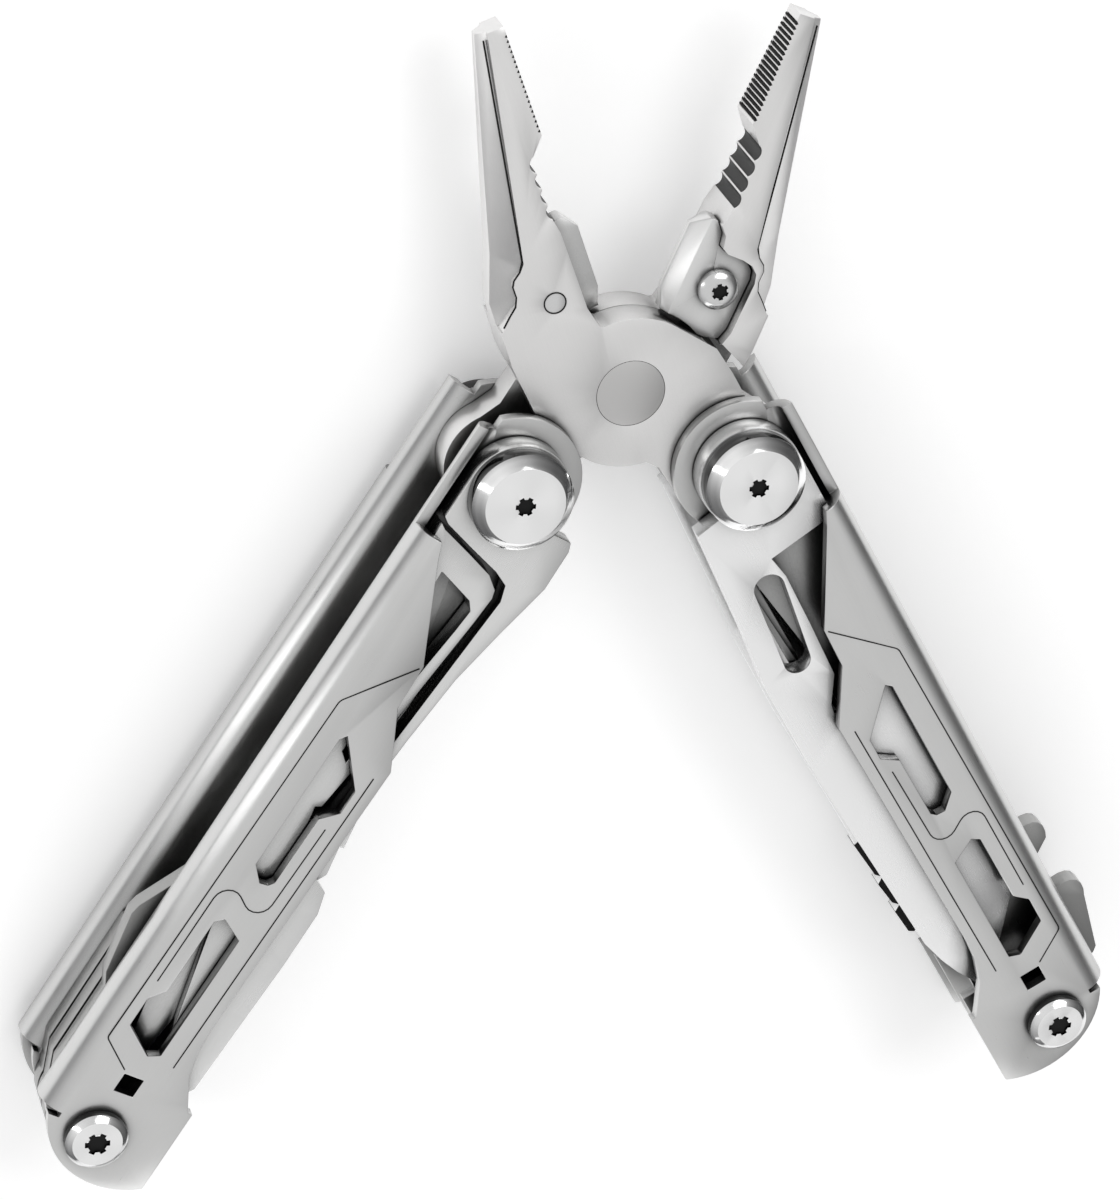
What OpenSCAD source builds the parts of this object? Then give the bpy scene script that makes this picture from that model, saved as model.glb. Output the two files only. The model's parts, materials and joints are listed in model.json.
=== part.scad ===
/* [Handles] */
// Distance from the jaw pivot of a handle to its tail bolt
handle_len = 84; // [76:0.5:101]
// Thickness of the folded handle sheet
sheet = 1.2; // [0.9:0.1:1.5]
// Width of the channel between the two inner walls
channel_w = 7; // [6:0.1:8.4]
// Depth of each outer tool pocket, between inner wall and cover plate
pocket = 2.6; // [2.2:0.1:3.2]
// Distance from the pivot line to the outside of the rolled edge
edge_out = 7.45; // [7.3:0.05:7.8]
// Distance from the pivot line to the outside of the web
web_out = 6; // [5.8:0.1:7]
// Angle between a handle and its own jaw's centre line when the handle is fully open
stop_angle = 9.65; // [9:0.05:14]

/* [Jaws] */
// Length of the jaws from the rivet to the tips
jaw_len = 42; // [38:0.5:50.5]
// Opening of each jaw from the centre line at rest
jaw_open = 21; // [15:0.5:24]
// Radius of the jaw hub
hub_r = 8.3; // [7.6:0.1:8.4]
// Radius of the big jaw rivet
rivet_r = 3.6; // [3:0.1:4.2]
// Handle pivot, sideways from the rivet with the jaws shut
pivot_half = 8.46; // [8.46:0.02:9.4]
// Handle pivot, below the rivet with the jaws shut
pivot_drop = 12.47; // [12.2:0.05:13.5]
// Half thickness of a jaw at the tip
tip_half = 1.5; // [1:0.1:2]
// Number of fine gripping teeth
fine_teeth = 20; // [9:1:20]

/* [Bolts] */
// Radius of the handle pivot bolt shaft
pivot_r = 3; // [2.5:0.1:3.4]
// Radius of the bevelled pivot head
head_r = 5.35; // [4.8:0.05:5.6]
// Height of the bolt heads above the cover plates
head_rise = 1.3; // [0.9:0.1:1.8]
// Radius of the tail bolt shaft
tail_r = 2; // [1.6:0.1:2.3]
// Radius of the tail bolt head
tail_head_r = 3.4; // [3:0.1:3.8]

/* [Tools] */
// Thickness of the four outer tools
blade_t = 2.2; // [1.7:0.1:2.2]
// Thickness of the inner tools
inner_t = 2; // [1.6:0.1:2.1]
// Length of the knife from its pivot
knife_len = 74.7; // [60:0.1:76]
// Length of the scissors from their pivot
scissors_len = 77.3; // [68:0.1:78]
// Length of the longest inner tool
inner_len = 46; // [40:0.5:50]

/* [Fits] */
// Radial clearance of a turning part on its bolt
run_gap = 0.05; // [0.02:0.01:0.1]
// Clearance between stacked faces that slide on each other
face_gap = 0.1; // [0.05:0.01:0.15]

/* [Hidden] */
$fn = 48;
e = 0.01;

// levels, measured from the middle plane of the tool
z_chan = channel_w / 2;
z_wall = z_chan + sheet;
z_roof = z_wall + pocket;
z_plate = z_roof + sheet;
z_head = z_plate + head_rise;
z_hub = z_chan - face_gap;
z_blade = z_wall + (pocket - blade_t) / 2;
z_blade_top = z_blade + blade_t;
z_bolt_head = z_blade_top + face_gap / 2;

// rolled edge of the handle sheet
fold_r = (pocket + 2 * sheet) / 2;
fold_b = -edge_out + fold_r;
fold_z = z_chan + fold_r;

// places at rest
grip_gap = 0.1;
beta = jaw_open + stop_angle;
pivot_far = sqrt(pivot_half * pivot_half + pivot_drop * pivot_drop);
pivot_turn = atan2(pivot_drop, pivot_half) - jaw_open;
pivot_x = pivot_far * cos(pivot_turn);
pivot_y = -pivot_far * sin(pivot_turn);

// rounded end of the handle: a large arc round a point short of the tail bolt
tail_arc_r = 10;
tail_arc = [handle_len - 4.5, 3];
tail_edge = 8.3;
roll_to = handle_len - 1.3;
top_y = jaw_len * cos(jaw_open) - grip_gap / 2 * sin(jaw_open);
low_y = pivot_y - tail_arc[0] * cos(beta) - tail_arc[1] * sin(beta) - tail_arc_r;
shift_y = -(top_y + low_y) / 2;

// tang of an outer tool and its washer, both clear of the inside of the rolled edge
tang_wall = sqrt(pocket * pocket - blade_t * blade_t) / 2 - fold_b;
tang_r = min(head_r + 0.15, tang_wall - 0.1);
washer_r = -fold_b - 0.05;

// height of the bevel of the pivot heads
head_bevel = 0.95;

// stations along a handle
cover_from = 7.6;
lip_from = -4.4;
web_from = 6;
web_to = handle_len - 9;

// jaw cross section
jaw_base = 18;
jaw_clear_r = hub_r + 0.35;
bevel_step = 0.3;
tooth_cut = 0.36;
insert_cross = 0.85;

// replaceable wire cutters and their screws
insert_face = z_hub - 1.2;
cutter_at = [-4.3, 13, 0];
cutter_r = 1.1;
cutter_head_r = 2.1;

// scissors, whose two blades slide on each other in the middle of their thickness
scissors_pin = [52, -0.6, 0];
scissors_pin_r = 1.5;
z_shear = (z_blade + z_blade_top) / 2;
shear_gap = 0.03;

// plunge line of the knife bevel, and half thickness left at its edge
bevel_from = 31;
edge_half = 0.25;

// inner tools: three in a row across the channel
inner_tang_r = 4.5;
slot_pitch = (channel_w - inner_t - 2 * face_gap) / 2;
washer_t = slot_pitch - inner_t - 2 * face_gap / 3;

STEEL = "silver";
DARK = "dimgray";
BRIGHT = "gainsboro";

// ---------- placing ----------

module stand() {
    translate([0, shift_y, z_head]) children();
}

module on_left() {
    stand() translate([-pivot_x, pivot_y, 0]) rotate(-90 - beta) children();
}

module on_right() {
    stand() mirror([1, 0, 0]) translate([-pivot_x, pivot_y, 0]) rotate(-90 - beta) children();
}

module flip() {
    mirror([0, 0, 1]) children();
}

module slab(z0, z1) {
    translate([0, 0, z0]) linear_extrude(z1 - z0) children();
}

module drum(r, z0, z1) {
    translate([0, 0, z0]) cylinder(r = r, h = z1 - z0);
}

// a large block above the plane through three points, used to bevel a solid
module above_plane(p, q, s) {
    n = cross(q - p, s - p);
    m = n[2] > 0 ? n : -n;
    translate(p) rotate([0, acos(m[2] / norm(m)), atan2(m[1], m[0])])
        translate([-80, -80, 0]) cube([160, 160, 40]);
}

module star(r) {
    circle(r = r * 0.78);
    for (k = [0:2]) rotate(60 * k) square([2 * r, r * 0.5], center = true);
}

// ---------- jaws ----------

// Both jaws are the same part: the back one is the front one turned half round the long axis.

module jaw_side() {
    polygon([[0.2, jaw_len + 1], [-2.6, jaw_len + 1], [-8.6, jaw_base + 1.8], [-10.3, 14.6], [-10.5, 8],
        [-9.7, 0.5], [-7.9, -4], [0, -4], [3, 6], [-0.8, 8.5], [-1.4, 11], [-1.5, 20], [-1.8, 21.6],
        [-1.8, 28.2], [-grip_gap / 2, 30.2], [-grip_gap / 2, jaw_len + 1]]);
}

module jaw_tang() {
    difference() {
        union() {
            circle(r = hub_r);
            translate([pivot_half, -pivot_drop]) circle(r = 5.9);
            polygon([[0, 0], [-1, -8], [0.4, -9.6], [1, -12.5], [1.8, -12.9], [pivot_half - 5, -pivot_drop - 2],
                [pivot_half, -pivot_drop], [pivot_half + 5.2, -pivot_drop + 2.6], [11.2, -6.2], [10.6, -2.5],
                [9.8, 0.9], [6.9, 4.6]]);
        }
        translate([pivot_half, -pivot_drop]) circle(r = pivot_r + run_gap);
    }
}

module insert_shape(grow) {
    difference() {
        polygon([[-0.4, 19.7 + grow], [-1.2, 19.7 + grow], [-2.2, 18.6 + grow], [-2.5, 17.3 + grow],
            [-3.3, 16.9 + grow], [-5 - grow, 16.8 + grow], [-6.2 - grow, 16.5 + grow], [-7 - grow, 15.8 + grow],
            [-7.3 - grow, 14.9], [-7.3 - grow, 9.2], [-6.9 - grow, 7.9 - grow], [-5.5, 7.6 - grow],
            [0.2 + grow, 8], [0.3 + grow, 9.4], [insert_cross + grow, 11], [insert_cross + grow, 18.2]]);
        circle(r = jaw_clear_r + 0.25 - grow);
    }
}

// region of the outer bevel, which ends in an S-curve beside the cutter
module bevel_region() {
    polygon([[-14, jaw_len + 1], [-14, 12.2], [-10.2, 12.2], [-9, 13.4], [-8.1, 14.2], [-7.7, 15.2],
        [-7.7, 16.4], [-7.4, 17], [-6.6, 17.6], [-6, jaw_base + 0.4], [-1.6, jaw_len + 1]]);
}

module jaw() {
    difference() {
        union() {
            // upper half: hub, tang and working end in one face
            slab(face_gap / 2, z_hub) union() {
                jaw_side();
                jaw_tang();
            }
            // lower half: only the working end, clear of the other jaw's hub and tang
            slab(-z_hub, face_gap) difference() {
                intersection() {
                    jaw_side();
                    polygon([[2, 60], [2, 6.5], [-7.1, 7.8], [-10.4, 6.2], [-14, 10], [-14, 60]]);
                }
                circle(r = jaw_clear_r + 0.4);
                insert_shape(0.1);
            }
        }
        // length of the jaws
        translate([-20, jaw_len, -10]) cube([40, 20, 20]);
        // both faces taper to the tip, and the outer corner has a sunk bevel
        for (s = [0, 1]) mirror([0, 0, s]) {
            above_plane([0, jaw_base, z_hub], [-5, jaw_base, z_hub], [0, jaw_len, tip_half]);
            intersection() {
                above_plane([-1.6, jaw_len, tip_half - bevel_step], [-6, jaw_base, z_hub - bevel_step],
                    [-9.6, jaw_base, 1]);
                slab(0, 20) bevel_region();
            }
        }
        // fine teeth across the grip
        for (k = [0:fine_teeth - 1]) {
            translate([-grip_gap / 2, 30.7 + k * (jaw_len - 31.2) / fine_teeth, 0]) rotate(45)
                cube([tooth_cut, tooth_cut, 10], center = true);
        }
        // coarse scallops
        for (k = [0:3]) translate([-1.25, 22.4 + 1.72 * k, -5]) cylinder(r = 0.95, h = 10);
        drum(rivet_r + run_gap, -10, 10);
        // thread of the cutter screw
        translate(cutter_at) drum(cutter_r + 0.02, -10, 10);
    }
}

module cutter_insert() {
    difference() {
        slab(-insert_face, -face_gap) insert_shape(0);
        // ground cutting edge
        translate([insert_cross, 0, -insert_face]) rotate([0, 45, 0]) translate([-1, 8, -1]) cube([2, 12, 2]);
        translate(cutter_at) drum(cutter_r + 0.02, -10, 10);
    }
}

module cutter_screw() {
    translate(cutter_at) difference() {
        union() {
            drum(cutter_r, -insert_face, z_hub);
            intersection() {
                drum(cutter_head_r, -z_hub + 0.05, -insert_face);
                translate([0, 0, 0.1]) sphere(r = 3.7);
            }
        }
        slab(-z_hub - 1, -z_hub + 0.7) star(0.9);
    }
}

module at_front_jaw() {
    stand() rotate(jaw_open) children();
}

module at_back_jaw() {
    stand() rotate(-jaw_open) rotate([0, 180, 0]) children();
}

module front_jaw() {
    color(STEEL) at_front_jaw() jaw();
}

module front_cutter() {
    color(BRIGHT) at_front_jaw() cutter_insert();
}

module front_cutter_screw() {
    color(BRIGHT) at_front_jaw() cutter_screw();
}

module back_jaw() {
    color(STEEL) at_back_jaw() jaw();
}

module back_cutter() {
    color(BRIGHT) at_back_jaw() cutter_insert();
}

module back_cutter_screw() {
    color(BRIGHT) at_back_jaw() cutter_screw();
}

module jaw_rivet() {
    color(DARK) stand() drum(rivet_r, -z_hub, z_hub);
}

// ---------- handle ----------

module tail_shape(inset) {
    intersection() {
        translate(tail_arc) circle(r = tail_arc_r - inset, $fn = 96);
        union() {
            translate([tail_arc[0] - 2, fold_b]) square([20, tail_edge - fold_b - inset]);
            // corner that curves round the bolt, past a notch at the end of the rolled edge
            translate([roll_to + 0.6, -edge_out]) square([10, 10]);
        }
    }
}

module cover_shape() {
    polygon([[cover_from, fold_b], [9.2, -4.3], [20.5, 1.25], [25.6, 1.4], [32.5, 5],
        [handle_len - 16.6, 4.4], [handle_len - 13.8, 4.6], [handle_len - 10.6, 5.4], [handle_len - 7.4, 7.2],
        [handle_len - 5.6, tail_edge], [handle_len - 3, tail_edge], [handle_len - 3, fold_b]]);
    tail_shape(0);
}

module windows() {
    polygon([[30.7, -1.6], [31.4, -2.2], [47.8, -2.2], [49.6, -0.6], [49.5, 0.4], [48.9, 0.9], [40.4, 1],
        [38.9, 2.75], [36, 2.75]]);
    far = handle_len - 84;
    polygon([[54.9, -1.6], [55.6, -2.5], [65 + far, -2.6], [66.6 + far, -4], [70.2 + far, -4],
        [72.9 + far, -0.2], [72.3 + far, 1.1], [56.6, 1.2]]);
    translate([handle_len - 7.1, -0.1]) square([2.3, 2.4], center = true);
}

module wall_shape() {
    difference() {
        union() {
            intersection() {
                circle(r = edge_out);
                translate([-10, fold_b]) square([20, 20]);
            }
            translate([lip_from, fold_b]) square([-lip_from, 4]);
            translate([0, fold_b]) square([tail_arc[0], web_out - fold_b]);
            tail_shape(0.5);
        }
        // slot that lets the wall spring under the outer tool
        polygon([[12.6, 5], [24.6, 3.5], [49, 3.5], [49, 4.3], [30, 4.9], [13.4, 5.7]]);
    }
}

module rolled_edge() {
    // inner quarter of the roll runs past the cover plate as a lip
    rotate([90, 0, 90]) {
        translate([fold_b, fold_z, cover_from]) linear_extrude(roll_to - cover_from) difference() {
            circle(r = fold_r);
            circle(r = fold_r - sheet);
            translate([0, -10]) square([20, 20]);
        }
        translate([fold_b, fold_z, lip_from]) linear_extrude(cover_from - lip_from + e) difference() {
            circle(r = fold_r);
            circle(r = fold_r - sheet);
            translate([0, -10]) square([20, 20]);
            translate([-10, 0]) square([20, 20]);
        }
    }
}

module half_frame() {
    difference() {
        union() {
            slab(z_chan, z_wall) wall_shape();
            slab(z_roof, z_plate) difference() {
                cover_shape();
                windows();
            }
            rolled_edge();
        }
        drum(pivot_r + 0.02, 0, z_plate + 1);
        translate([handle_len, 0, 0]) drum(tail_r + 0.02, 0, z_plate + 1);
    }
}

module frame() {
    half_frame();
    flip() half_frame();
    translate([web_from, web_out - sheet, -z_chan - 0.5]) cube([web_to - web_from, sheet, channel_w + 1]);
}

module pivot_head() {
    // bevelled ring with a flat face
    drum(head_r, z_bolt_head, z_head - head_bevel);
    translate([0, 0, z_head - head_bevel]) cylinder(r1 = head_r, r2 = head_r - 1.2 * head_bevel, h = head_bevel);
}

module pivot_bolt() {
    difference() {
        union() {
            pivot_head();
            drum(pivot_r, -z_bolt_head - 0.6, z_head - 1);
        }
        slab(z_head - 1.3, z_head + 1) star(1.05);
    }
}

module pivot_nut() {
    flip() difference() {
        pivot_head();
        drum(pivot_r + 0.01, z_bolt_head - 1, z_bolt_head + 0.62);
        slab(z_head - 1.1, z_head + 1) star(1.05);
    }
}

module tail_head() {
    drum(tail_head_r, z_plate, z_head - 0.5);
    translate([0, 0, z_head - 0.5]) cylinder(r1 = tail_head_r, r2 = tail_head_r - 0.7, h = 0.5);
}

module tail_bolt() {
    translate([handle_len, 0, 0]) difference() {
        union() {
            tail_head();
            drum(tail_r, -z_plate - 0.3, z_head - 1);
        }
        slab(z_head - 1.1, z_head + 1) star(1.35);
    }
}

module tail_nut() {
    translate([handle_len, 0, 0]) flip() difference() {
        tail_head();
        drum(tail_r + 0.01, z_plate - 1, z_plate + 0.32);
        slab(z_head - 0.9, z_head + 1) star(1.35);
    }
}

module tail_spacers() {
    // they fill the pockets under the tail bolt's heads
    for (s = [0, 1]) mirror([0, 0, s]) translate([handle_len, 0, 0]) difference() {
        drum(3.2, z_wall, z_roof);
        drum(tail_r + 0.02, 0, z_plate);
    }
}

module tool_washers() {
    // thin rings between the inner tools
    for (s = [0, 1]) mirror([0, 0, s]) translate([handle_len, 0, 0]) difference() {
        drum(3.6, inner_t / 2 + face_gap / 3, inner_t / 2 + face_gap / 3 + washer_t);
        drum(tail_r + 0.02, -1, z_plate);
    }
}

module lock_spring() {
    // a leaf against the web, with a raised end that bears on the inner tools' tangs
    wide = channel_w - 4 * face_gap;
    inner_face = web_out - sheet;
    translate([0, 0, -wide / 2]) linear_extrude(wide)
        polygon([[34, inner_face], [34, inner_face - 0.8], [handle_len - 22, inner_face - 0.8],
            [handle_len - 19, inner_face - 0.8], [handle_len - 11, inner_face - 0.8],
            [handle_len - 10, inner_face - 0.1], [handle_len - 10, inner_face]]);
}

module left_frame() {
    color(STEEL) on_left() frame();
}

module right_frame() {
    color(STEEL) on_right() frame();
}

module left_pivot_bolt() {
    color(BRIGHT) on_left() pivot_bolt();
}

module right_pivot_bolt() {
    color(BRIGHT) on_right() pivot_bolt();
}

module left_pivot_nut() {
    color(BRIGHT) on_left() pivot_nut();
}

module right_pivot_nut() {
    color(BRIGHT) on_right() pivot_nut();
}

module left_tail_bolt() {
    color(BRIGHT) on_left() tail_bolt();
}

module right_tail_bolt() {
    color(BRIGHT) on_right() tail_bolt();
}

module left_tail_nut() {
    color(BRIGHT) on_left() tail_nut();
}

module right_tail_nut() {
    color(BRIGHT) on_right() tail_nut();
}

module left_tail_spacers() {
    color(DARK) on_left() tail_spacers();
}

module right_tail_spacers() {
    color(DARK) on_right() tail_spacers();
}

module left_tool_washers() {
    color(DARK) on_left() tool_washers();
}

module right_tool_washers() {
    color(DARK) on_right() tool_washers();
}

module left_lock_spring() {
    color(DARK) on_left() lock_spring();
}

module right_lock_spring() {
    color(DARK) on_right() lock_spring();
}

// ---------- outer tools ----------

module outer_tang() {
    // round, so it stays inside the rolled edge while the tool swings out
    circle(r = tang_r);
}

module knife_shape() {
    difference() {
        union() {
            outer_tang();
            polygon([[0, -tang_r], [8.4, -tang_r], [9.4, -4.6], [10.1, 2.3], [12.9, 1.85], [19.8, 2.1], [27, 2.5],
                [30.3, 4.4], [33, 4.8], [33.4, 3.6], [32, 1.5], [30.9, -1], [30.3, -4.3], [31, -4.9],
                [60, -4.9], [65, -3.8], [69, -2.1], [71.8, 0.4], [73.6, 3.2], [knife_len, 5.7],
                [knife_len - 3, 6.9], [knife_len - 6, 7.8], [65.5, 8.5], [49, 9.2], [36, 9.6], [24, 9.6],
                [17, 8.8], [3, 7.75], [2.6, 5], [0, 4]]);
        }
        circle(r = pivot_r + run_gap);
    }
}

module knife() {
    color(BRIGHT) on_right() difference() {
        slab(z_blade, z_blade_top) difference() {
            knife_shape();
            translate([13.2, 4]) circle(r = 1.7);
            translate([23, 5.2]) circle(r = 1.5);
            polygon([[13.4, 2.3], [23.2, 3.7], [22.8, 6.69], [12.8, 5.66]]);
        }
        // ground bevels on both faces, straight along the edge and then round the belly
        for (s = [0, 1]) translate([0, 0, z_shear]) mirror([0, 0, s]) intersection() {
            union() {
                above_plane([31, -4.9, edge_half], [60, -4.9, edge_half], [40, 1.6, blade_t / 2]);
                above_plane([61, -4.9, edge_half], [74.4, 4.9, edge_half], [62, 2.2, blade_t / 2]);
            }
            translate([bevel_from, -10, -10]) cube([60, 30, 20]);
        }
    }
}

module washer_ring() {
    difference() {
        drum(washer_r, z_wall, z_blade - 0.02);
        drum(pivot_r + 0.02, 0, 20);
    }
}

module knife_washer() {
    color("darkgoldenrod") on_right() washer_ring();
}

module saw_washer() {
    color("darkgoldenrod") on_right() flip() washer_ring();
}

module scissors_washer() {
    color("darkgoldenrod") on_left() washer_ring();
}

module file_washer() {
    color("darkgoldenrod") on_left() flip() washer_ring();
}

module saw() {
    tooth = 1.5;
    count = floor((knife_len - 34) / tooth);
    color(BRIGHT) on_right() flip() difference() {
        slab(z_blade, z_blade_top) difference() {
            union() {
                outer_tang();
                polygon([[0, -tang_r], [8.4, -tang_r], [9.4, -4.6], [10.1, 1], [16, -1.8], [knife_len - 6, -1.8],
                    [knife_len - 1, 2.6], [knife_len, 5], [knife_len - 1.4, 8.3], [knife_len - 1.9, 8.9],
                    [69.3, 9.15], [68.7, 8.35], [67.8, 8.9], [64.5, 9.25], [63.9, 8.45], [63, 9], [58, 9.4],
                    [56.6, 9.25], [50, 9.3], [36, 9.6], [24, 9.4], [17, 8.6], [3, 7.75], [2.6, 5], [0, 4]]);
            }
            circle(r = pivot_r + run_gap);
            // long hole for the thumb
            translate([13.2, 5]) circle(r = 1.3);
            translate([22.6, 5.8]) circle(r = 1.3);
            polygon([[13.2, 3.7], [22.6, 4.5], [22.6, 7.1], [13.2, 6.3]]);
            // saw teeth toward the rolled edge
            for (k = [0:count - 1]) translate([24 + tooth * k, -1.9])
                polygon([[0, -1], [tooth, -1], [tooth, 0.1], [tooth * 0.75, 1.1], [0, 0.1]]);
        }
    }
}

module file() {
    color(DARK) on_left() flip() difference() {
        slab(z_blade, z_blade_top) difference() {
            union() {
                outer_tang();
                polygon([[0, -tang_r], [8.4, -tang_r], [9.4, -4.6], [10.1, 0], [14, -2.4], [knife_len - 1, -2.4],
                    [knife_len, -1.4], [knife_len, 6.4], [knife_len - 1.2, 7.6], [30, 7.9], [24, 8.6], [17, 8.6],
                    [3, 7.75], [2.6, 5], [0, 4]]);
            }
            circle(r = pivot_r + run_gap);
            translate([13.2, 5]) circle(r = 1.3);
            translate([22.6, 5.4]) circle(r = 1.3);
            polygon([[13.2, 3.7], [22.6, 4.1], [22.6, 6.7], [13.2, 6.3]]);
        }
        // cut rows of the file face
        for (k = [0:29]) translate([32 + 1.35 * k, -4, z_blade_top]) rotate([45, 0, 70])
            cube([14, 0.3, 0.3], center = false);
    }
}

// ---------- scissors ----------

module scissors_base() {
    color(BRIGHT) on_left() difference() {
        union() {
            // tang and outer handle, full thickness
            slab(z_blade, z_blade_top) difference() {
                union() {
                    outer_tang();
                    polygon([[0, -tang_r], [5.5, -tang_r], [6, -4.8], [7.3, -0.8], [8.4, 2.8], [9.3, 4.6], [11.1, 5.2],
                        [29.4, 4.1], [40, 3], [43, 3.4], [43, 6.2], [35, 4.95], [29, 5.3], [20.9, 6], [14.2, 7.3],
                        [7.9, 8.7], [3.2, 8.6], [2.2, 8.2], [2.2, 5], [0, 4]]);
                }
                circle(r = pivot_r + run_gap);
            }
            // inner blade, lower half of the thickness, crossing under the lever
            slab(z_blade, z_shear - shear_gap) polygon([[40, 3], [43, 0.8], [46.4, -3.1], [52, -4.4], [62, -3.8],
                [scissors_len - 3.5, -1.6], [scissors_len - 2, 0.6], [66, 1.4], [56, 2.2], [50, 5], [47, 6.9],
                [43, 6.2]]);
        }
        translate(scissors_pin) drum(scissors_pin_r + run_gap, 0, 20);
    }
}

module scissors_lever() {
    color(STEEL) on_left() difference() {
        union() {
            // thumb lever with its spring slot
            slab(z_blade, z_blade_top) difference() {
                polygon([[6.2, -5.4], [6.6, -4.8], [7.9, -0.8], [9, 2.4], [10.2, 3.9], [11.2, 4.2], [14.4, 4],
                    [27.4, 2.8], [39.6, 1.2], [40, 0.4], [40, -3.8], [34, -4.6], [20, -5.4]]);
                polygon([[10.8, -2.4], [12.4, 2.1], [13.4, 2.9], [16, 2.7], [34, 0.7], [33, -0.4], [21.5, -0.4],
                    [14, -2.2]]);
            }
            // outer blade, upper half of the thickness
            slab(z_shear + shear_gap, z_blade_top) polygon([[39, 0.4], [39, -3.8], [44, -3.8], [50, -3.4], [55, -2.2],
                [60, -1], [scissors_len, 3.2], [scissors_len, 6.2], [scissors_len - 2, 7.6], [58, 8.1],
                [51, 8.05], [48.4, 7.3], [46.5, 4], [45, 1.6]]);
        }
        translate(scissors_pin) drum(scissors_pin_r + run_gap, 0, 20);
    }
}

module scissors_rivet() {
    color(DARK) on_left() translate(scissors_pin) drum(scissors_pin_r, z_blade, z_blade_top);
}

// ---------- inner tools ----------

// Coordinates run from the tail bolt toward the jaws along +x, with the open side of the channel at -y.

// The right-hand tools carry lifting tabs that reach into the left channel when the handles fold.

module lifting_tab(to, long, reach) {
    polygon([[to - long, -4], [to - long, 3.4 - reach], [to - long + 0.3, 2.5 - reach],
        [to - long + 0.9, 1.9 - reach], [to - 3.1, 0.3 - reach], [to - 2.3, 0.05 - reach], [to - 1.4, -reach],
        [to - 0.7, 0.25 - reach], [to - 0.2, 0.8 - reach], [to, 1.6 - reach], [to, -4]]);
}

module inner_blank(level) {
    translate([handle_len, 0, level * slot_pitch]) mirror([1, 0, 0]) slab(-inner_t / 2, inner_t / 2) difference() {
        union() {
            circle(r = inner_tang_r);
            polygon([[0, -inner_tang_r], [4, -6.1], [20, -6.1], [23, -2], [23, 3.6], [0, 3.6]]);
            children();
        }
        circle(r = tail_r + run_gap);
    }
}

module can_opener() {
    color(STEEL) on_right() inner_blank(1) {
        lifting_tab(12.5, 11.5, 10.4);
        difference() {
            polygon([[15, -2.4], [30, -1.6], [36, -2.6], [39, -0.6], [inner_len - 6, 3.4], [15, 3.6]]);
            translate([31, -2.6]) circle(r = 2.1);
        }
    }
}

module large_driver() {
    color(STEEL) on_right() inner_blank(0) {
        lifting_tab(20.6, 5.3, 9.9);
        polygon([[18, -2.2], [26, -1.6], [inner_len - 8, -1.3], [inner_len - 1, -0.7], [inner_len, 0.6],
            [inner_len - 1, 3.4], [18, 3.6]]);
    }
}

module small_driver() {
    color(STEEL) on_right() inner_blank(-1) {
        lifting_tab(7.8, 6.4, 10);
        polygon([[18, -1], [inner_len - 9, 0.4], [inner_len - 3, 0.4], [inner_len - 3, 3.2], [18, 3.6]]);
    }
}

module bottle_opener() {
    color(STEEL) on_left() inner_blank(1) difference() {
        polygon([[14, -6.1], [16, -7.2], [20, -7.9], [23.4, -8.5], [24.6, -8.2], [31, -4.9], [36, -3.1], [39, -2],
            [inner_len - 6, 1], [inner_len - 7, 3.6], [14, 3.6]]);
        translate([33, -4.6]) circle(r = 2.4);
    }
}

module cross_driver() {
    color(STEEL) on_left() inner_blank(0)
        polygon([[18, -1.4], [inner_len - 5, -0.6], [inner_len - 1.5, 0.4], [inner_len, 1.2], [inner_len - 1.5, 2],
            [inner_len - 5, 3.4], [18, 3.6]]);
}

module awl() {
    color(STEEL) on_left() inner_blank(-1)
        polygon([[18, -1], [inner_len - 8, 0.8], [inner_len - 2, 3], [inner_len - 8, 3.5], [18, 3.6]]);
}

front_jaw();
front_cutter();
front_cutter_screw();
jaw_rivet();
back_jaw();
back_cutter();
back_cutter_screw();
left_frame();
left_pivot_bolt();
left_pivot_nut();
left_tail_bolt();
left_tail_nut();
left_tail_spacers();
left_tool_washers();
left_lock_spring();
right_frame();
right_pivot_bolt();
right_pivot_nut();
right_tail_bolt();
right_tail_nut();
right_tail_spacers();
right_tool_washers();
right_lock_spring();
knife();
knife_washer();
saw();
saw_washer();
file();
file_washer();
scissors_base();
scissors_lever();
scissors_rivet();
scissors_washer();
can_opener();
large_driver();
small_driver();
bottle_opener();
cross_driver();
awl();
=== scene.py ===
"""Looks of the folding multi tool: studio, camera, steel finishes and fine surface details."""
import json
import math

import bpy
from mathutils import Matrix, Vector


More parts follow.
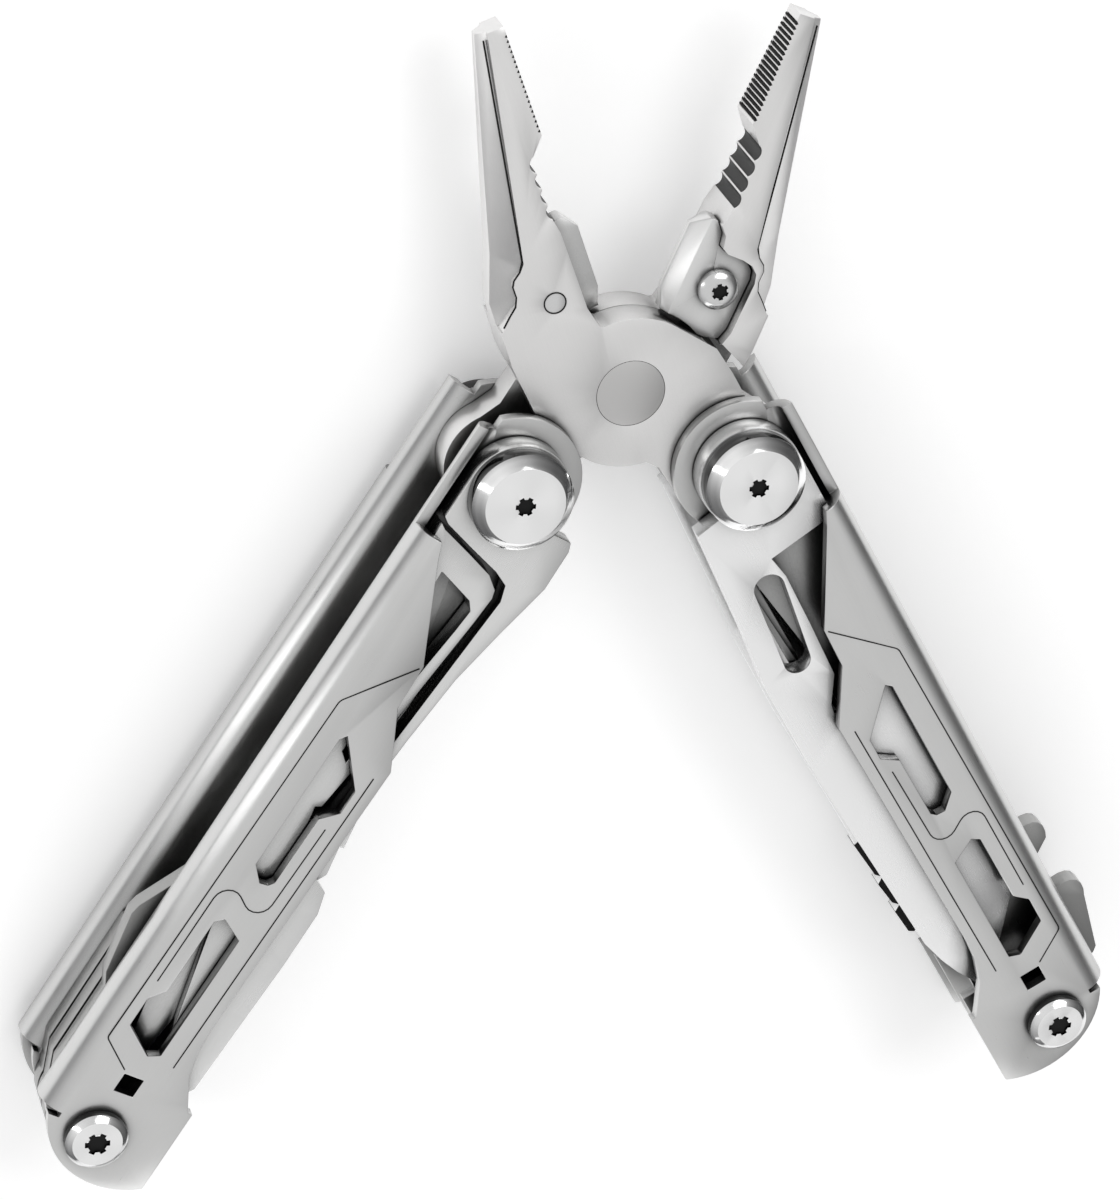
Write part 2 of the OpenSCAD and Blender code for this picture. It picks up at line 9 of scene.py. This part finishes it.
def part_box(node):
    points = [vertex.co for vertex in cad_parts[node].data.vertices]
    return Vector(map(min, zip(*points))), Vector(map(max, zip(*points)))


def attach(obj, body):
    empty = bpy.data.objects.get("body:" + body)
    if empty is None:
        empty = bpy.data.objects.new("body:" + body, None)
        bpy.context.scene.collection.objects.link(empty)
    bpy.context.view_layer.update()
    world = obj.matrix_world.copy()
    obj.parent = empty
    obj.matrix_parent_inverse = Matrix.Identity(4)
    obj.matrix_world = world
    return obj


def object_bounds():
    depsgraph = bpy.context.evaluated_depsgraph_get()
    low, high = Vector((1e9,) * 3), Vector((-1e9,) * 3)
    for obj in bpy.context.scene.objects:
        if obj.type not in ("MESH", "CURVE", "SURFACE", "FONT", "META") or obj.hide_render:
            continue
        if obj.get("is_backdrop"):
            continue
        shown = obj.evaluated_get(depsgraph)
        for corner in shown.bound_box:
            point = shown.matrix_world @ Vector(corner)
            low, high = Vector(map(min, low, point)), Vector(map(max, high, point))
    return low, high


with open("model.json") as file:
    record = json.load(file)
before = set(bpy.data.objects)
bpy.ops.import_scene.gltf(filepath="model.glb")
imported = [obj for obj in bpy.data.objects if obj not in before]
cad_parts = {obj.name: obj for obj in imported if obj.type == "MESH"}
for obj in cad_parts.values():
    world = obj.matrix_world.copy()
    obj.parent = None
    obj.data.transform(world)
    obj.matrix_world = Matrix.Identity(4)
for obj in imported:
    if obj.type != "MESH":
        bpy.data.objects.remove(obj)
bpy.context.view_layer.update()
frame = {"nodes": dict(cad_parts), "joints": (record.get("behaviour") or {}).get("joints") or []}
nodes = frame["nodes"]
MM = 0.001

# ---------- places taken from the frame ----------

JOINTS = {j["name"]: j for j in frame["joints"]}
PIVOT = {
    "left": Vector(JOINTS["left_handle_fold"]["pos_m"]),
    "right": Vector(JOINTS["handle_fold"]["pos_m"]),
}
TAIL = {
    "left": Vector(JOINTS["awl_open"]["pos_m"]),
    "right": Vector(JOINTS["can_opener_open"]["pos_m"]),
}
RIVET = Vector(JOINTS["jaw_shut"]["pos_m"])
MIDDLE_Z = RIVET.z
COVER_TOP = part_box("left_frame")[1].z
JAW_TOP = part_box("front_jaw")[1].z
SIDES = ("left", "right")


def handle_frame(side):
    """Matrix from a handle's own axes (x to the tail, y into the V, z forward) to the part's frame."""
    along = (TAIL[side] - PIVOT[side]).normalized()
    inward = Vector((-along.y, along.x, 0)) if side == "left" else Vector((along.y, -along.x, 0))
    m = Matrix.Identity(4)
    m.col[0][:3] = along
    m.col[1][:3] = inward
    m.translation = PIVOT[side]
    return m


HANDLE = {side: handle_frame(side) for side in SIDES}
BRUSH_TURN = {side: math.atan2(HANDLE[side].col[0][1], HANDLE[side].col[0][0]) for side in SIDES}
JAW_TURN = math.radians(21)

# ---------- materials ----------

OPEN_SHARE = (0.2, 0.92)  # share of open sky over which the painted shade in a hollow goes from dark to full tone
SHEEN_SECTORS, SHEEN_SECTOR_TURN = 3.0, 0.7  # painted reflection sectors round a turned head, and where they start, in radians
FLAT_Z, BEVEL_Z, WALL_Z = 0.97, 0.9, 0.1  # upward part of the normal on a head's flat, bevel and side wall
PIVOT_SHEEN, TAIL_SHEEN = 0.4, 0.15  # how strong the painted reflection sectors are


def node_of(tree, kind, **values):
    n = tree.nodes.new(kind)
    for key, value in values.items():
        setattr(n, key, value)
    return n


def map_range(tree, value_socket, source, target):
    """A number carried from one span to another, and held inside it."""
    n = node_of(tree, "ShaderNodeMapRange")
    n.inputs["From Min"].default_value, n.inputs["From Max"].default_value = source
    n.inputs["To Min"].default_value, n.inputs["To Max"].default_value = target
    tree.links.new(value_socket, n.inputs["Value"])
    return n.outputs["Result"]


def maths(tree, operation, *values):
    """A Math node whose inputs are sockets or plain numbers."""
    n = node_of(tree, "ShaderNodeMath", operation=operation)
    for k, value in enumerate(values):
        if isinstance(value, bpy.types.NodeSocket):
            tree.links.new(value, n.inputs[k])
        else:
            n.inputs[k].default_value = value
    return n.outputs["Value"]


def hollow_shade(tree, colour_socket, reach, depth):
    """Colour darkened with painted shade where the surface sits in a slot, pocket or corner."""
    occlusion = node_of(tree, "ShaderNodeAmbientOcclusion", samples=6)
    occlusion.inputs["Distance"].default_value = reach
    return scaled(tree, colour_socket, map_range(tree, occlusion.outputs["AO"], OPEN_SHARE, (1 - depth, 1.0)))


def scaled(tree, colour_socket, factor_socket):
    """A colour multiplied by a number."""
    product = node_of(tree, "ShaderNodeVectorMath", operation="SCALE")
    tree.links.new(colour_socket, product.inputs[0])
    tree.links.new(factor_socket, product.inputs["Scale"])
    return product.outputs["Vector"]


def steel(name, colour, rough, turn=0.0, grain=0.25, spread=0.08, tone=0.06, bump=0.15, metallic=1.0,
          reach=5 * MM, depth=0.85):
    """Satin metal: fine scratches along one direction, cloudy roughness, a slight change of tone and painted
    shade in hollows.
    """
    mat = bpy.data.materials.new(name)
    mat.use_nodes = True
    tree = mat.node_tree
    bsdf = tree.nodes["Principled BSDF"]
    bsdf.inputs["Metallic"].default_value = metallic
    link = tree.links.new
    coords = node_of(tree, "ShaderNodeTexCoord")
    turned = node_of(tree, "ShaderNodeMapping")
    turned.inputs["Rotation"].default_value = (0, 0, -turn)
    link(coords.outputs["Object"], turned.inputs["Vector"])
    stretch = node_of(tree, "ShaderNodeMapping")
    stretch.inputs["Scale"].default_value = (300, 9000, 9000)
    link(turned.outputs["Vector"], stretch.inputs["Vector"])
    scratches = node_of(tree, "ShaderNodeTexNoise")
    scratches.inputs["Scale"].default_value = 1.0
    scratches.inputs["Detail"].default_value = 3.0
    link(stretch.outputs["Vector"], scratches.inputs["Vector"])
    clouds = node_of(tree, "ShaderNodeTexNoise")
    clouds.inputs["Scale"].default_value = 160.0
    clouds.inputs["Detail"].default_value = 4.0
    link(coords.outputs["Object"], clouds.inputs["Vector"])

    tint = node_of(tree, "ShaderNodeMix", data_type="RGBA", blend_type="MIX")
    tint.inputs["A"].default_value = (*[c * (1 - tone) for c in colour], 1)
    tint.inputs["B"].default_value = (*[min(1, c * (1 + tone)) for c in colour], 1)
    blend = node_of(tree, "ShaderNodeMix", data_type="FLOAT")
    blend.inputs["Factor"].default_value = 0.45
    link(clouds.outputs["Fac"], blend.inputs["A"])
    link(scratches.outputs["Fac"], blend.inputs["B"])
    link(blend.outputs["Result"], tint.inputs["Factor"])
    # base colour with painted shade in slots, pockets and corners
    link(hollow_shade(tree, tint.outputs["Result"], reach, depth), bsdf.inputs["Base Color"])

    dull = map_range(tree, blend.outputs["Result"], (0.0, 1.0), (max(0.02, rough - spread), rough + spread))
    link(dull, bsdf.inputs["Roughness"])

    relief = node_of(tree, "ShaderNodeBump")
    relief.inputs["Strength"].default_value = bump
    relief.inputs["Distance"].default_value = grain * 1e-5
    link(scratches.outputs["Fac"], relief.inputs["Height"])
    link(relief.outputs["Normal"], bsdf.inputs["Normal"])
    return mat


def turned_steel_painted_light(name, centre, ring):
    """Polished metal turned round a centre, with painted reflections and shade: light and dark sectors on the
    bevel, a dark side wall and a lighter flat.
    """
    mat = steel(name, (0.92, 0.92, 0.92), 0.13, tone=0.02, spread=0.03, bump=0.05)
    tree = mat.node_tree
    bsdf = tree.nodes["Principled BSDF"]
    link = tree.links.new
    base = bsdf.inputs["Base Color"].links[0].from_socket
    coords = node_of(tree, "ShaderNodeTexCoord")
    shift = node_of(tree, "ShaderNodeVectorMath", operation="SUBTRACT")
    shift.inputs[1].default_value = centre
    link(coords.outputs["Object"], shift.inputs[0])
    split = node_of(tree, "ShaderNodeSeparateXYZ")
    link(shift.outputs["Vector"], split.inputs["Vector"])
    # painted reflection: light and dark sectors by the angle round the centre
    angle = maths(tree, "ARCTAN2", split.outputs["Y"], split.outputs["X"])
    wave = maths(tree, "SINE", maths(tree, "MULTIPLY_ADD", angle, SHEEN_SECTORS, SHEEN_SECTOR_TURN))
    surface = node_of(tree, "ShaderNodeNewGeometry")
    facing = node_of(tree, "ShaderNodeSeparateXYZ")
    link(surface.outputs["True Normal"], facing.inputs["Vector"])
    up = maths(tree, "ABSOLUTE", facing.outputs["Z"])
    # painted light by facing: the sectors on the bevel, painted shade on the side wall, a lighter flat
    bevel = map_range(tree, up, (FLAT_Z, BEVEL_Z), (0.03, ring))
    sector = maths(tree, "MULTIPLY_ADD", wave, bevel, 1.0)
    wall = map_range(tree, up, (WALL_Z, 0.45), (0.08, 0.8))
    flat = map_range(tree, up, (0.8, FLAT_Z), (0.0, 0.2))
    shade = maths(tree, "MULTIPLY", sector, maths(tree, "ADD", wall, flat))
    link(scaled(tree, base, shade), bsdf.inputs["Base Color"])
    return mat


def give(names, mat):
    for name in names:
        o = nodes[name]
        o.data.materials.clear()
        o.data.materials.append(mat)


def both(*kinds):
    return [f"{side}_{kind}" for side in SIDES for kind in kinds]


for side in SIDES:
    give([f"{side}_frame"],
         steel(f"handle_satin_{side}", (0.66, 0.66, 0.655), 0.3, turn=BRUSH_TURN[side],
               reach=8 * MM, depth=0.9))
    give([f"{side}_pivot_bolt", f"{side}_pivot_nut"],
         turned_steel_painted_light(f"pivot_polished_painted_light_{side}", PIVOT[side], PIVOT_SHEEN))
    give([f"{side}_tail_bolt", f"{side}_tail_nut"],
         turned_steel_painted_light(f"tail_polished_painted_light_{side}", TAIL[side], TAIL_SHEEN))
for which, lean in (("front", JAW_TURN), ("back", -JAW_TURN)):
    give([f"{which}_jaw"],
         steel(f"jaw_satin_{which}", (0.8, 0.795, 0.79), 0.32, turn=math.pi / 2 + lean, reach=8 * MM))
give(["front_cutter", "back_cutter"], steel("cutter_ground", (0.8, 0.8, 0.795), 0.36, turn=0.4))
give(["knife", "saw"],
     steel("blade_ground_right", (0.97, 0.97, 0.97), 0.26, turn=BRUSH_TURN["right"], tone=0.02,
           metallic=0.92))
give(["scissors_base", "scissors_lever"],
     steel("blade_ground_left", (0.78, 0.78, 0.775), 0.26, turn=BRUSH_TURN["left"]))
give(["file"], steel("file_dull", (0.42, 0.42, 0.42), 0.45, turn=BRUSH_TURN["left"]))
give(["front_cutter_screw", "back_cutter_screw"],
     steel("screw_satin", (0.7, 0.7, 0.7), 0.2, tone=0.02, bump=0.05))
give(both("tail_spacers", "tool_washers", "lock_spring") + ["scissors_rivet"],
     steel("spring_dull", (0.4, 0.4, 0.395), 0.38))
give(["jaw_rivet"], steel("rivet_dull", (0.58, 0.575, 0.57), 0.42, tone=0.04))
give(["knife_washer", "saw_washer", "scissors_washer", "file_washer"],
     steel("washer_brass", (0.72, 0.53, 0.26), 0.3))
give(["can_opener", "large_driver", "small_driver"],
     steel("tool_steel_right", (0.44, 0.44, 0.435), 0.3, turn=BRUSH_TURN["right"]))
give(["bottle_opener", "cross_driver", "awl"],
     steel("tool_steel_left", (0.4, 0.4, 0.395), 0.3, turn=BRUSH_TURN["left"]))
# one dark matt material: real scribed lines, the fine gap round the cutter screw, the dark saw lobes, and
# painted shade in sockets, tooth grooves and at the foot of the jaw bevels
ENGRAVING_AND_SHADE = steel("engraved_and_painted_shade", (0.012, 0.012, 0.012), 0.7, metallic=0.0)
ENGRAVING_AND_SHADE.node_tree.nodes["Principled BSDF"].inputs["Specular IOR Level"].default_value = 0.15

# ---------- softened edges on every CAD node ----------

EDGE_WIDTH = {"frame": 0.16, "jaw": 0.18, "knife": 0.1}
PLAIN_EDGE = 0.09
WELD_GAP = 1e-6
SHARP_ANGLE = math.radians(32)
BEVEL_ANGLE = math.radians(38)


def shading_group():
    """Geometry nodes that shade smooth, with edges over SHARP_ANGLE kept sharp."""
    group = bpy.data.node_groups.new("shade_by_angle", "GeometryNodeTree")
    group.interface.new_socket("Geometry", in_out="INPUT", socket_type="NodeSocketGeometry")
    group.interface.new_socket("Geometry", in_out="OUTPUT", socket_type="NodeSocketGeometry")
    link = group.links.new
    start, stop = node_of(group, "NodeGroupInput"), node_of(group, "NodeGroupOutput")
    smooth = node_of(group, "GeometryNodeSetShadeSmooth")
    angle = node_of(group, "GeometryNodeInputMeshEdgeAngle")
    over = node_of(group, "FunctionNodeCompare", data_type="FLOAT", operation="GREATER_THAN")
    over.inputs["B"].default_value = SHARP_ANGLE
    store = node_of(group, "GeometryNodeStoreNamedAttribute", data_type="BOOLEAN", domain="EDGE")
    store.inputs["Name"].default_value = "sharp_edge"
    link(start.outputs["Geometry"], smooth.inputs["Geometry"])
    link(angle.outputs["Unsigned Angle"], over.inputs["A"])
    link(smooth.outputs["Geometry"], store.inputs["Geometry"])
    link(over.outputs["Result"], store.inputs["Value"])
    link(store.outputs["Geometry"], stop.inputs["Geometry"])
    return group


SHADING = shading_group()


def soften(o, width):
    weld = o.modifiers.new("join", "WELD")
    weld.merge_threshold = WELD_GAP
    round_ = o.modifiers.new("edge", "BEVEL")
    round_.width = width
    round_.segments = 2
    round_.limit_method = "ANGLE"
    round_.angle_limit = BEVEL_ANGLE
    round_.use_clamp_overlap = True
    shade = o.modifiers.new("shade", "NODES")
    shade.node_group = SHADING


for name, o in nodes.items():
    kind = next((k for k in EDGE_WIDTH if name.endswith(k)), None)
    soften(o, EDGE_WIDTH.get(kind, PLAIN_EDGE) * MM)

# ---------- scribed lines on the cover plates ----------


def curve_piece(name, points, radius, mat, body, closed=False):
    data = bpy.data.curves.new(name, "CURVE")
    data.dimensions = "3D"
    data.bevel_depth = radius
    data.bevel_resolution = 2
    data.use_fill_caps = True
    spline = data.splines.new("POLY")
    spline.points.add(len(points) - 1)
    for point, p in zip(spline.points, points):
        point.co = (*p, 1)
    spline.use_cyclic_u = closed
    piece = bpy.data.objects.new(name, data)
    bpy.context.collection.objects.link(piece)
    data.materials.append(mat)
    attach(piece, body)
    return piece


def bend(corner, before, after, radius, steps=6):
    """Points of an arc that rounds a corner of a path."""
    a = (Vector(before) - Vector(corner)).normalized()
    b = (Vector(after) - Vector(corner)).normalized()
    half = a.angle(b) / 2
    reach = radius / math.tan(half)
    centre = Vector(corner) + (a + b).normalized() * (radius / math.sin(half))
    start, stop = Vector(corner) + a * reach - centre, Vector(corner) + b * reach - centre
    turn = math.atan2(start.x * stop.y - start.y * stop.x, start.dot(stop))
    return [centre + Matrix.Rotation(turn * k / steps, 2) @ start for k in range(steps + 1)]


def rounded(path, radii):
    """A path given by its corners, with each inner corner rounded."""
    out = [Vector(path[0])]
    for k in range(1, len(path) - 1):
        r = radii.get(k, 0.3)
        out += bend(path[k], path[k - 1], path[k + 1], r)
    out.append(Vector(path[-1]))
    return out


SCRIBED = {
    "lock": ([(20.8, 0.95), (27.5, -4.66), (72.5, -5.4), (75.3, -1.6)], {1: 1.2, 2: 0.6}),
    "arm": ([(41.2, 2.3), (54.4, 2.0), (50.0, -4.1), (64.3, -4.2)], {1: 1.6, 2: 1.6}),
    "edge": ([(33.9, 3.68), (73.1, 3.17)], {}),
}
LINE_RADIUS = 0.07 * MM

for side in SIDES:
    for face, z in (("front", COVER_TOP - MIDDLE_Z), ("back", MIDDLE_Z - COVER_TOP)):
        for label, (path, radii) in SCRIBED.items():
            pts = [HANDLE[side] @ Vector((p.x * MM, p.y * MM, z)) for p in rounded(path, radii)]
            curve_piece(f"scribed_{label}_{side}_{face}", pts, LINE_RADIUS, ENGRAVING_AND_SHADE, f"handle_{side}")

# ---------- painted shade in recesses: driver sockets, teeth and scallops ---


def in_space(matrix, x, y, z):
    """A point given in millimetres in a part's own coordinates."""
    return matrix @ Vector((x * MM, y * MM, z * MM))


def mesh_piece(name, verts, faces, mat, body):
    mesh = bpy.data.meshes.new(name)
    mesh.from_pydata(verts, [], faces)
    mesh.materials.append(mat)
    piece = bpy.data.objects.new(name, mesh)
    bpy.context.collection.objects.link(piece)
    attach(piece, body)
    return piece


def prism(name, matrix, outlines, z0, z1, mat, body):
    """Closed outlines in a part's own plane, pulled up from z0 to z1."""
    verts, faces = [], []
    for outline in outlines:
        n, start = len(outline), len(verts)
        verts += [in_space(matrix, x, y, z) for z in (z0, z1) for x, y in outline]
        faces.append([start + k for k in range(n)][::-1])
        faces.append([start + n + k for k in range(n)])
        turns = [(k, (k + 1) % n) for k in range(n)]
        faces += [(start + a, start + b, start + n + b, start + n + a) for a, b in turns]
    return mesh_piece(name, verts, faces, mat, body)


def star_outline(x, y, r):
    """Six short lobes round a centre."""
    out = []
    for k in range(24):
        reach = r * (0.86 + 0.14 * math.cos(math.pi * k / 2))
        angle = math.pi * k / 12
        out.append((x + reach * math.cos(angle), y + reach * math.sin(angle)))
    return out


HEAD_TOP = (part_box("left_pivot_bolt")[1].z - MIDDLE_Z) / MM
SOCKET_DROP, SOCKET_THICK = 0.3, 0.1
PIVOT_SOCKET_R, TAIL_SOCKET_R, CUTTER_SOCKET_R = 1.12, 1.42, 0.98
# piece: at the tail or not, radius, front or back
SOCKETS = {
    "pivot_bolt": (0, PIVOT_SOCKET_R, 1),
    "pivot_nut": (0, PIVOT_SOCKET_R, -1),
    "tail_bolt": (1, TAIL_SOCKET_R, 1),
    "tail_nut": (1, TAIL_SOCKET_R, -1),
}

# painted shade: a dark star just under the face of each bolt and nut socket
for side in SIDES:
    handle_len = (TAIL[side] - PIVOT[side]).length / MM
    for part, (at_tail, r, face) in SOCKETS.items():
        z = face * (HEAD_TOP - SOCKET_DROP)
        prism(f"{side}_{part}_socket", HANDLE[side], [star_outline(handle_len * at_tail, 0, r)],
              min(z, z - SOCKET_THICK * face), max(z, z - SOCKET_THICK * face), ENGRAVING_AND_SHADE, f"handle_{side}")

JAW = {
    "front": Matrix.Translation(RIVET) @ Matrix.Rotation(JAW_TURN, 4, "Z"),
    "back": (Matrix.Translation(RIVET) @ Matrix.Rotation(-JAW_TURN, 4, "Z")
             @ Matrix.Rotation(math.pi, 4, "Y")),
}
JAW_HALF = (JAW_TOP - MIDDLE_Z) / MM
JAW_BASE, JAW_LEN, TIP_HALF = 18.0, 42.0, 1.5
CUTTER_AT = (-4.3, 13.0)
TEETH, TEETH_FROM, TEETH_SPAN = 20, 30.7, JAW_LEN - 31.2
TOOTH_PROUD = 0.01
SCALLOPS, SCALLOP_FROM, SCALLOP_PITCH = 4, 22.4, 1.72
SCALLOP_X, SCALLOP_R, SCALLOP_ARC, SCALLOP_STEPS = -1.25, 0.93, 104, 10
CUTTER_GAP_R, GAP_LINE, GAP_STEPS = 1.12, 0.07 * MM, 40


def jaw_half(y):
    """Half thickness of a jaw at a height on it."""
    return JAW_HALF + (TIP_HALF - JAW_HALF) * max(0.0, y - JAW_BASE) / (JAW_LEN - JAW_BASE)


# painted shade inside the concave scallops of the jaws
SCALLOP_SHADE = steel("scallop_painted_shade", (0.07, 0.07, 0.07), 0.45)

for which, m in JAW.items():
    body = f"jaw_{which}"
    bars, bar_faces = [], []
    # painted shade: a dark bar in each groove between the teeth
    for k in range(TEETH):
        y = TEETH_FROM + k * TEETH_SPAN / TEETH
        half, start = jaw_half(y) + TOOTH_PROUD, len(bars)
        ring = [(-0.06, y - 0.13), (-0.06, y + 0.13), (-0.3, y + 0.02), (-0.3, y - 0.02)]
        bars += [in_space(m, px, py, z) for z in (-half, half) for px, py in ring]
        bar_faces += [[start + q for q in f] for f in
                      ((3, 2, 1, 0), (4, 5, 6, 7), (0, 1, 5, 4), (1, 2, 6, 5), (2, 3, 7, 6), (3, 0, 4, 7))]
    mesh_piece(f"tooth_groove_shade_{which}", bars, bar_faces, ENGRAVING_AND_SHADE, body)
    # painted shade: thin dark shells just inside each scallop
    shells, shell_faces = [], []
    for k in range(SCALLOPS):
        cy = SCALLOP_FROM + SCALLOP_PITCH * k
        half, start = jaw_half(cy + 0.8), len(shells)
        for q in range(SCALLOP_STEPS + 1):
            a = math.pi + math.radians(SCALLOP_ARC * (q / SCALLOP_STEPS - 0.5))
            x, y = SCALLOP_X + SCALLOP_R * math.cos(a), cy + SCALLOP_R * math.sin(a)
            shells += [in_space(m, x, y, z) for z in (-half, half)]
        corners = [start + 2 * q for q in range(SCALLOP_STEPS)]
        shell_faces += [(c, c + 1, c + 3, c + 2) for c in corners]
    mesh_piece(f"scallop_shade_shells_{which}", shells, shell_faces, SCALLOP_SHADE, body)
    # painted shade in the socket of the cutter screw, and the fine gap round its end
    z = SOCKET_DROP - JAW_HALF
    prism(f"cutter_socket_{which}", m, [star_outline(*CUTTER_AT, CUTTER_SOCKET_R)],
          z, z + SOCKET_THICK, ENGRAVING_AND_SHADE, body)
    cx, cy = CUTTER_AT
    gap = [in_space(m, cx + CUTTER_GAP_R * math.cos(t), cy + CUTTER_GAP_R * math.sin(t), JAW_HALF)
           for t in (math.tau * k / GAP_STEPS for k in range(GAP_STEPS))]
    curve_piece(f"cutter_gap_{which}", gap, GAP_LINE, ENGRAVING_AND_SHADE, body, closed=True)

# shadow at the foot of the sunk outer bevel of each jaw
BEVEL_FOOT = [
    (-2.3, 41.4), (-6.0, 18.6), (-6.6, 17.6), (-7.4, 17.0), (-7.7, 16.4), (-7.7, 15.2), (-8.1, 14.2),
    (-9.0, 13.4), (-9.9, 12.5),
]
BEVEL_STEP, FOOT_RISE, FOOT_IN, FOOT_RADIUS = 0.3, 0.12, 0.05, 0.1 * MM

for which, m in JAW.items():
    for face in (1, -1):
        foot = [in_space(m, x - FOOT_IN, y, face * (jaw_half(y) - BEVEL_STEP + FOOT_RISE))
                for x, y in BEVEL_FOOT]
        curve_piece(f"bevel_foot_{which}_{'top' if face > 0 else 'under'}", foot, FOOT_RADIUS, ENGRAVING_AND_SHADE,
                    f"jaw_{which}")

# dark lobes on the back of the saw
SAW_LOBES = [
    [(57.6, 8.3), (57.9, 9.43), (63.1, 9.04), (63.8, 8.5), (63.8, 8.0), (58.5, 8.0)],
    [(64.0, 8.0), (64.0, 8.5), (64.6, 9.28), (67.9, 8.93), (68.6, 8.4), (68.6, 8.0)],
    [(68.8, 8.0), (68.8, 8.4), (69.35, 9.18), (72.8, 8.94), (73.3, 8.35), (73.0, 8.0)],
]
SAW_BACK, SAW_FRONT = -7.12, -4.88
prism("saw_back_lobes", HANDLE["right"], SAW_LOBES, SAW_BACK, SAW_FRONT, ENGRAVING_AND_SHADE, "saw")

# ---------- studio ----------

FLOOR_HALF, FLOOR_GAP = 2.0, 0.0002
FLOOR_GLOW = 0.28
WORLD_STRENGTH = 0.8
CAMERA_PLACE = (-0.11901, 0.19660, 0.35328)
CAMERA_TURN = (-29.6942, -16.4032, 3.7273)
CAMERA_LENS = 118.2


def floor():
    mesh = bpy.data.meshes.new("floor")
    corners = [(x * FLOOR_HALF, y * FLOOR_HALF, 0) for x, y in ((-1, -1), (1, -1), (1, 1), (-1, 1))]
    mesh.from_pydata(corners, [], [(0, 1, 2, 3)])
    o = bpy.data.objects.new("floor", mesh)
    o.location.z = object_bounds()[0][2] - FLOOR_GAP
    bpy.context.collection.objects.link(o)
    mat = bpy.data.materials.new("floor_pale")
    mat.use_nodes = True
    bsdf = mat.node_tree.nodes["Principled BSDF"]
    bsdf.inputs["Base Color"].default_value = (0.95, 0.95, 0.95, 1)
    bsdf.inputs["Roughness"].default_value = 0.9
    bsdf.inputs["Emission Color"].default_value = (1, 1, 1, 1)
    bsdf.inputs["Emission Strength"].default_value = FLOOR_GLOW
    mesh.materials.append(mat)
    o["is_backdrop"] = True


def area_light(name, place, aim, size, power):
    data = bpy.data.lights.new(name, "AREA")
    data.shape = "RECTANGLE"
    data.size, data.size_y = size
    data.energy = power
    o = bpy.data.objects.new(name, data)
    o.location = place
    o.rotation_euler = (Vector(aim) - Vector(place)).to_track_quat("-Z", "Y").to_euler()
    bpy.context.collection.objects.link(o)


def studio_world():
    world = bpy.data.worlds.new("studio")
    bpy.context.scene.world = world
    world.use_nodes = True
    tree = world.node_tree
    back = tree.nodes["Background"]
    coords = node_of(tree, "ShaderNodeTexCoord")
    split = node_of(tree, "ShaderNodeSeparateXYZ")
    ramp = node_of(tree, "ShaderNodeValToRGB")
    ramp.color_ramp.elements[0].position = 0.0
    ramp.color_ramp.elements[0].color = (0.12, 0.12, 0.125, 1)
    ramp.color_ramp.elements[1].position = 0.7
    ramp.color_ramp.elements[1].color = (1, 1, 1, 1)
    tree.links.new(coords.outputs["Generated"], split.inputs["Vector"])
    tree.links.new(split.outputs["Z"], ramp.inputs["Fac"])
    # darker toward the right, so that the rolled edge there falls off
    side = map_range(tree, split.outputs["X"], (0.35, 0.9), (1.0, 0.3))
    tree.links.new(scaled(tree, ramp.outputs["Color"], side), back.inputs["Color"])
    back.inputs["Strength"].default_value = WORLD_STRENGTH


def camera():
    data = bpy.data.cameras.new("camera")
    data.lens = CAMERA_LENS
    data.sensor_width = 36
    data.clip_start = 0.01
    o = bpy.data.objects.new("camera", data)
    o.location = CAMERA_PLACE
    o.rotation_euler = [math.radians(v) for v in CAMERA_TURN]
    bpy.context.collection.objects.link(o)
    bpy.context.scene.camera = o


floor()
studio_world()
area_light("key", (0.3, 0.45, 0.75), (0, 0, 0), (0.5, 0.35), 1.6)
area_light("left_strip", (-0.6, 0.1, 0.35), (0, 0, 0), (0.08, 0.6), 0.5)
area_light("front_soft", (0.1, -0.9, 0.4), (0, 0, 0), (0.7, 0.25), 0.8)
camera()
bpy.context.scene.view_settings.view_transform = "Standard"
